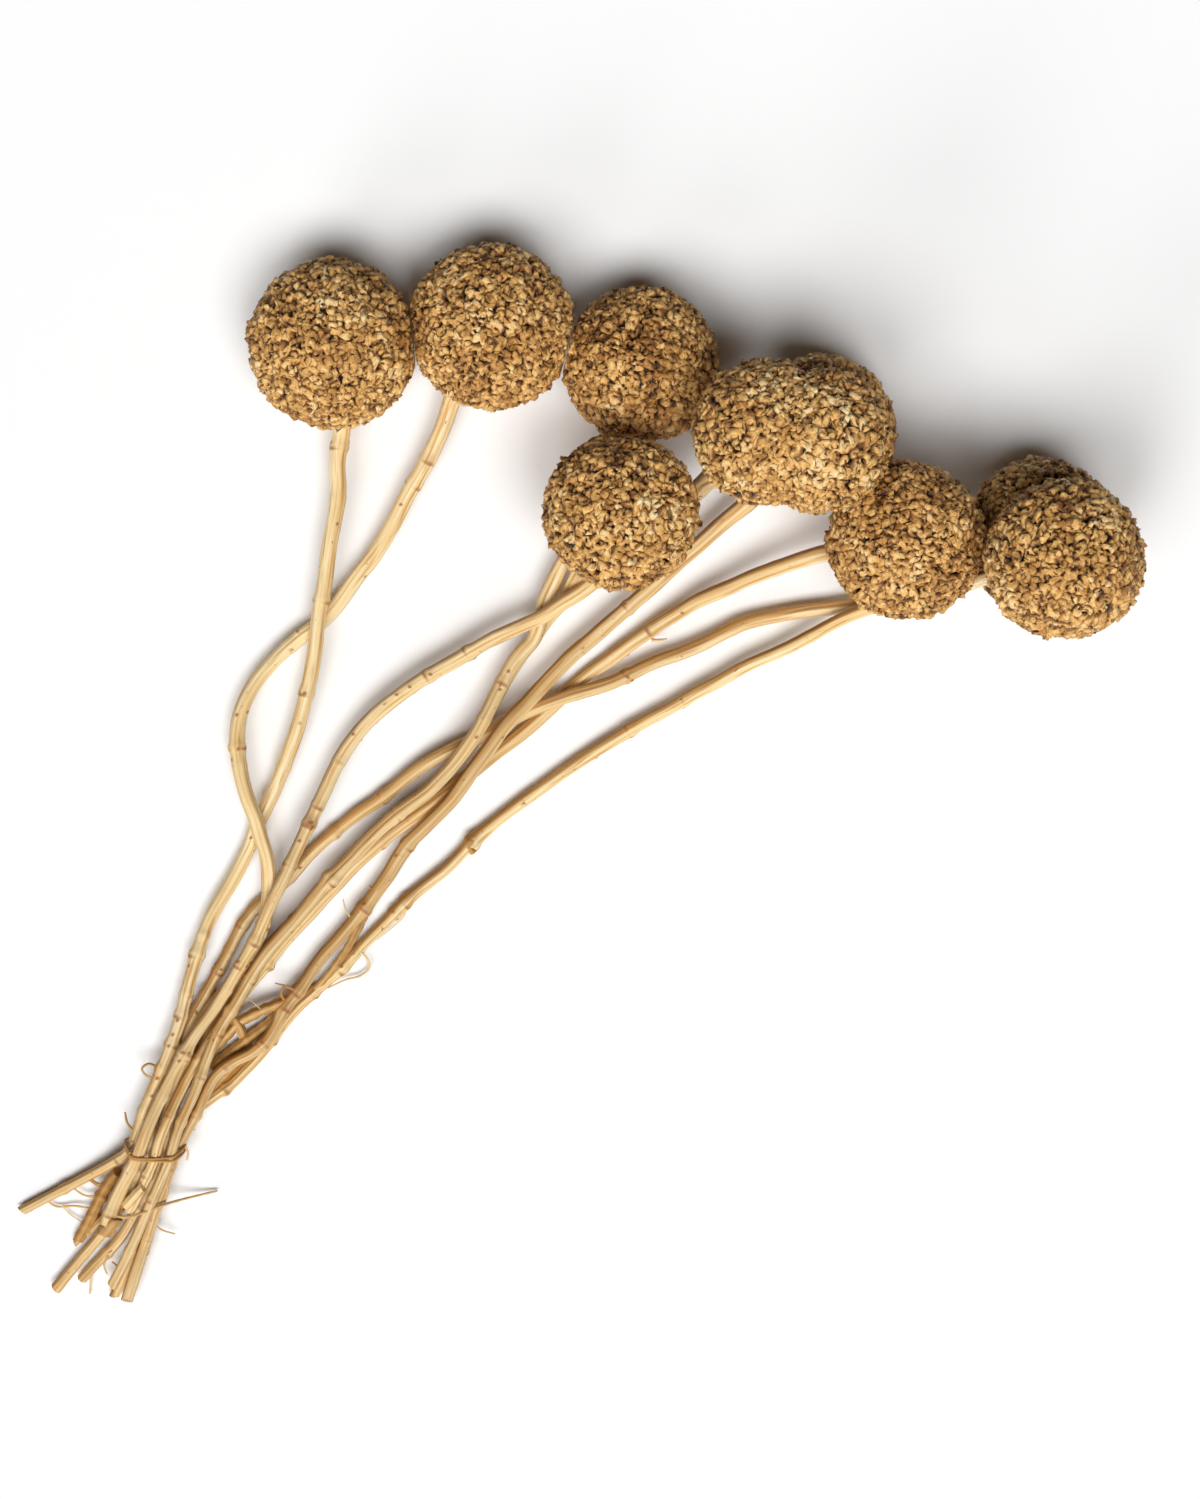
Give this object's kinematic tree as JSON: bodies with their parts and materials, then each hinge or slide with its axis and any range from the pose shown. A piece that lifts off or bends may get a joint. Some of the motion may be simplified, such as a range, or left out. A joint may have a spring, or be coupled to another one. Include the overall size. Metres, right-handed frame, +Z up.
{
  "type": "bunch of dried craspedia",
  "caption": "Dried craspedia lying down: ball-shaped flower heads packed with small florets, on thin bent stems tied with a narrow band near their cut ends.",
  "frame": {"origin": "on the surface that the bunch lies on, under the middle of its outline", "axes": "+Z up from the surface, +X along the bunch from the tied end to the heads, +Y towards the side of the head that lies furthest out"},
  "size_m": [0.2723, 0.1796, 0.0608],
  "materials": {
    "florets": "dry, papery and matt",
    "stem": "dry straw, finely ribbed, satin",
    "tie": "dry plant fibre, satin"
  },
  "bodies": {
    "root": {"head_a": "florets", "head_b": "florets", "head_c": "florets", "head_d": "florets", "head_e": "florets", "head_f": "florets", "head_g": "florets", "head_h": "florets", "head_i": "florets", "stem_a": "stem", "stem_b": "stem", "stem_c": "stem", "stem_d": "stem", "stem_e": "stem", "stem_f": "stem", "stem_g": "stem", "stem_h": "stem", "stem_i": "stem", "tie": "tie"}
  },
  "joints": []
}
